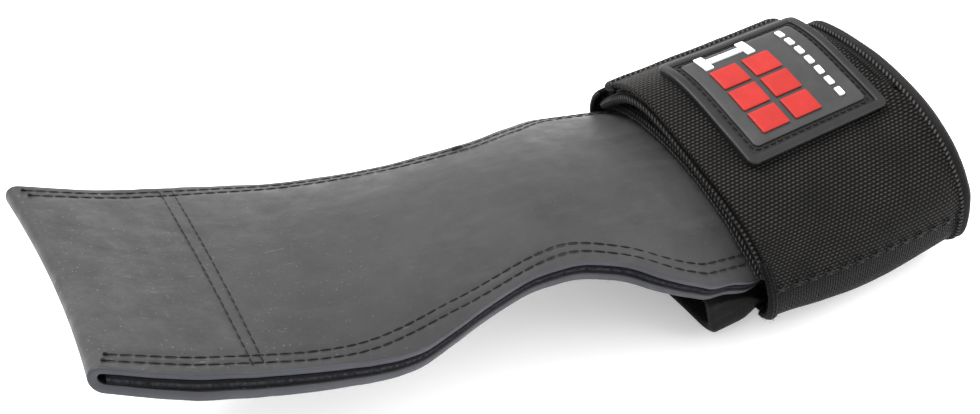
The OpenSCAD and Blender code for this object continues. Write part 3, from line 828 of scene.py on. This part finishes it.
# ---- seam stitches across the strap's join ----------------------------------------------
def seam_crosses():
    """A row of small crosses along the strap's seam."""
    parts = []
    for k in range(13):
        x = (k - 6) * 5.4 + 0.3 * noise.noise(Vector((k * 3.1, 0, 0)))
        for lean in (-1, 1):
            a = web_surface(SEAM - 1.0, x - 1.5 * lean, -0.15)
            b = web_surface(SEAM - 4.2, x + 1.5 * lean, -0.15)
            up = web_surface(SEAM - 3, x, -1.0) - web_surface(SEAM - 3, x, 0.0)
            parts.append(bead(a, b, up / np.linalg.norm(up), width=0.75, height=0.6, sink=0.1))
    return parts


crosses = joined("seam_cross_stitches", seam_crosses(), THREAD, body="cuff")
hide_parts("seam_stitching")


# ---- label ---------------------------------------------------------------------------------
LABEL_X0, LABEL_LEN = -STRAP + 11.5, 49.6
LABEL_NEAR, LABEL_FAR = 104.9, 57.2  # degrees round the cuff
LABEL_ROUND = 2.4
BED_TOP, RIM_TOP, FIELD_TOP, MARK_TOP = 1.55, 2.32, 2.15, 2.75
FIELD_IN, ROW_IN = 4.9, 3.95
fine = np.linspace(LABEL_FAR, LABEL_NEAR, 200)
label_arc = arc(fine, 0.0, 0.0)
LABEL_WIDE = label_arc[-1]


def on_label(p, q, h):
    """World point of the label: p along the cuff and q across it, from the label's middle."""
    a = np.interp(q + LABEL_WIDE / 2, label_arc, fine)
    return oval(a, LABEL_X0 + LABEL_LEN / 2 + p, -np.asarray(h, float))


def rounded(hx, hy, r, n=14, side=22):
    """Outline of a rounded rectangle, with the same number of points at any size."""
    r = max(min(r, hx - 0.02, hy - 0.02), 0.01)
    turn = np.radians(np.linspace(0, 90, n))
    out = []
    for sx, sy, start in ((1, 1, 0), (-1, 1, 90), (-1, -1, 180), (1, -1, 270)):
        a = turn + math.radians(start)
        corner = np.stack([sx * (hx - r) + r * np.cos(a), sy * (hy - r) + r * np.sin(a)], -1)
        out.append(corner)
        nxt = {0: (-(hx - r), hy), 90: (-hx, -(hy - r)), 180: (hx - r, -hy), 270: (hx, hy - r)}[start]
        f = np.linspace(0, 1, side + 2)[1:-1, None]
        out.append(corner[-1] + (np.array(nxt) - corner[-1]) * f)
    return np.concatenate(out)


def plaque(name, hx, hy, r, steps, material, p0=0.0, q0=0.0, closed=False):
    """A raised shape on the label from rings of (inset, height)."""
    rings, uvs = [], []
    for inset, h in steps:
        o = rounded(hx - inset, hy - inset, r - inset * 0.6)
        rings.append(on_label(p0 + o[:, 0], q0 + o[:, 1], h))
        uvs.append(np.stack([p0 + o[:, 0], q0 + o[:, 1]], -1))
    if closed:
        rings.append(rings[0])
        uvs.append(uvs[0])
    return tube(name, np.array(rings), [material], np.array(uvs), cap=not closed, body="strap_end")


HX, HY = LABEL_LEN / 2, LABEL_WIDE / 2


def filled(low, top, span, bevel=0.25, rings=16):
    """Ring steps of a solid pad: up its side, over its bevel and in to its middle."""
    return [(0, low), (0, top - bevel), (bevel * 0.3, top - bevel * 0.3), (bevel, top)] \
        + [(bevel + (span - bevel - 0.02) * k / rings, top) for k in range(1, rings + 1)]


plate = plaque("label_back", HX, HY, LABEL_ROUND, filled(0.05, BED_TOP, HY), LABEL_BED)
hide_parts("label_plate")
RIM_STEPS = [(-0.03, 0.0), (-0.03, 1.5), (0.0, 2.0), (0.25, 2.25), (0.6, RIM_TOP), (2.3, RIM_TOP), (2.7, 2.2),
             (2.95, 1.95), (3.05, 1.5), (1.5, 0.5)]
border = plaque("label_border", HX, HY, LABEL_ROUND, RIM_STEPS, LABEL, closed=True)
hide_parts("label_rim")
field = plaque("label_panel", HX - FIELD_IN, HY - FIELD_IN, 1.4, filled(1.5, FIELD_TOP, HY - FIELD_IN),
               LABEL_FIELD)
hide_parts("label_field")


def label_stitches():
    """A row of stitches in the groove between the label's rim and its field."""
    parts = []
    o = rounded(HX - ROW_IN, HY - ROW_IN, 1.6, 6, 60)
    o = np.concatenate([o, o[:1]])
    run = np.concatenate([[0], np.cumsum(np.linalg.norm(np.diff(o, axis=0), axis=1))])
    count = int(run[-1] / 2.5)
    for k in range(count):
        ends = [(k * run[-1] / count + d) for d in (0, 1.9)]
        (p0, q0), (p1, q1) = [(np.interp(e, run, o[:, 0]), np.interp(e, run, o[:, 1])) for e in ends]
        a, b = on_label(p0, q0, BED_TOP + 0.07), on_label(p1, q1, BED_TOP + 0.07)
        up = on_label(p0, q0, BED_TOP + 1.07) - a
        parts.append(bead(a, b, up / np.linalg.norm(up), width=0.6, height=0.45, sink=0.1, rings=7))
    return parts


label_row = joined("label_thread", label_stitches(), THREAD, body="strap_end")
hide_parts("label_stitching")


def mark(name, p, q, hx, hy, material):
    """A plain raised mark at (p, q) with half sizes hx and hy."""
    steps = filled(FIELD_TOP - 0.05, MARK_TOP, min(hx, hy), 0.18, 4)
    return plaque(name, hx, hy, 0.35, steps, material, p, q)


def merged(name, pieces):
    """Joins like pieces into one object."""
    with bpy.context.temp_override(active_object=pieces[0], object=pieces[0], selected_objects=pieces,
                                   selected_editable_objects=pieces):
        bpy.ops.object.join()
    pieces[0].name = name
    return pieces[0]


BLOCK, DISC, ROD, TICK = (4.7, 3.9), (1.5, 3.3), (6.2, 1.1), (1.0, 1.55)
BELL_AT = -15.2
bars = merged("label_blocks", [mark(f"block_{i}_{j}", -10.5 + 11.5 * i, -6.5 + 9.2 * j, *BLOCK, RED)
                               for i in range(2) for j in range(3)])
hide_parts("label_bars")
bell = merged("label_bell", [mark("bell_left", -13.6, BELL_AT, *DISC, WHITE),
                             mark("bell_rod", -6.1, BELL_AT, *ROD, WHITE),
                             mark("bell_right", 1.4, BELL_AT, *DISC, WHITE)])
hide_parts("label_dumbbell")
dashes = merged("label_ticks", [mark(f"tick_{i}", 14.2, -15 + 4.7 * i, *TICK, WHITE) for i in range(7)])
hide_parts("label_dashes")


# ---- loose fibres on the bindings -----------------------------------------------------------
FIBRE_HALF = 0.045


def fibres(name, source, count, length, body):
    """Short curved fibres that stand out from a piece's surface."""
    mesh = source.data
    co, no = np.empty(len(mesh.vertices) * 3), np.empty(len(mesh.vertices) * 3)
    mesh.vertices.foreach_get("co", co)
    mesh.vertices.foreach_get("normal", no)
    co, no = co.reshape(-1, 3) / MM, no.reshape(-1, 3)
    pick = rng.integers(0, len(co), count)
    n = len(pick)
    root = co[pick] + rng.normal(0, 0.5, (n, 3)) - no[pick] * 0.2
    lean = no[pick] + rng.normal(0, 0.7, (n, 3))
    lean /= np.linalg.norm(lean, axis=1)[:, None]
    curl = rng.normal(0, 0.8, (n, 3))
    size = length * rng.uniform(0.4, 1.0, n)[:, None]
    side = np.cross(lean, rng.normal(0, 1, (n, 3)))
    side *= FIBRE_HALF / np.linalg.norm(side, axis=1)[:, None]
    mid, tip = root + lean * size * 0.55, root + (lean + curl * 0.45) * size
    verts = np.stack([root - side, root + side, mid + side * 0.8, mid - side * 0.8, tip], 1).reshape(-1, 3)
    faces = []
    for k in range(n):
        b = 5 * k
        faces += [[b, b + 1, b + 2, b + 3], [b + 3, b + 2, b + 4]]
    fuzz = bpy.data.meshes.new(name)
    fuzz.from_pydata((verts * MM).tolist(), [], faces)
    fuzz.materials.append(FUZZ)
    store_uv(fuzz, verts[:, :2])
    obj = bpy.data.objects.new(name, fuzz)
    bpy.context.scene.collection.objects.link(obj)
    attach(obj, body)
    return obj


fibres("mouth_fuzz", roll, 2600, 1.3, "cuff")
fibres("trim_fuzz", panel_trim, 900, 1.2, "cuff")
fibres("front_trim_fuzz", front_trim, 500, 1.0, "cuff")
fibres("tail_fuzz", tail_trim, 900, 1.2, "strap_end")


# ---- floor, light and camera ------------------------------------------------------------------
bpy.context.scene.view_settings.view_transform = "Standard"
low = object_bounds()[0][2]
floor_mesh = bpy.data.meshes.new("floor")
floor_mesh.from_pydata([(-3, -3, 0), (3, -3, 0), (3, 3, 0), (-3, 3, 0)], [], [(0, 1, 2, 3)])
floor = bpy.data.objects.new("floor", floor_mesh)
floor.location.z = low
bpy.context.scene.collection.objects.link(floor)
ground = Shade("pale_floor", roughness=0.9, specular=0.1)
ground.set("Base Color", ground.mix(ground.noise(0.02, 3), (0.93, 0.93, 0.93), (0.95, 0.95, 0.95)))
ground.set("Emission Color", (1, 1, 1, 1))
ground.set("Emission Strength", 0.22)
floor_mesh.materials.append(ground.material)

world = bpy.data.worlds.new("studio")
bpy.context.scene.world = world
world.use_nodes = True
world.node_tree.nodes["Background"].inputs[0].default_value = (1, 1, 1, 1)
world.node_tree.nodes["Background"].inputs[1].default_value = 1.3


def area_light(name, place, aim, size, power):
    """A square lamp at place that shines towards aim."""
    data = bpy.data.lights.new(name, "AREA")
    data.shape, data.size, data.energy = "SQUARE", size, power
    lamp = bpy.data.objects.new(name, data)
    lamp.location = place
    lamp.rotation_euler = (Vector(aim) - Vector(place)).to_track_quat("-Z", "Y").to_euler()
    bpy.context.scene.collection.objects.link(lamp)


area_light("key", (-0.25, 0.75, 1.1), (-0.05, 0, 0.03), 0.8, 32)
area_light("fill", (0.7, -0.5, 0.9), (-0.05, 0, 0.03), 1.0, 10)

lens = bpy.data.cameras.new("photo_view")
lens.lens, lens.sensor_width = 55.1, 36
camera = bpy.data.objects.new("photo_view", lens)
right = Vector((0.87024, -0.49149, -0.03262))
down = Vector((-0.38445, -0.63638, -0.66871))
ahead = Vector((0.30793, 0.59456, -0.74275))
eye = Vector((-0.22185, -0.23996, 0.3556))
camera.matrix_world = Matrix.Translation(eye) @ Matrix((right, -down, -ahead)).transposed().to_4x4()
bpy.context.scene.collection.objects.link(camera)
bpy.context.scene.camera = camera
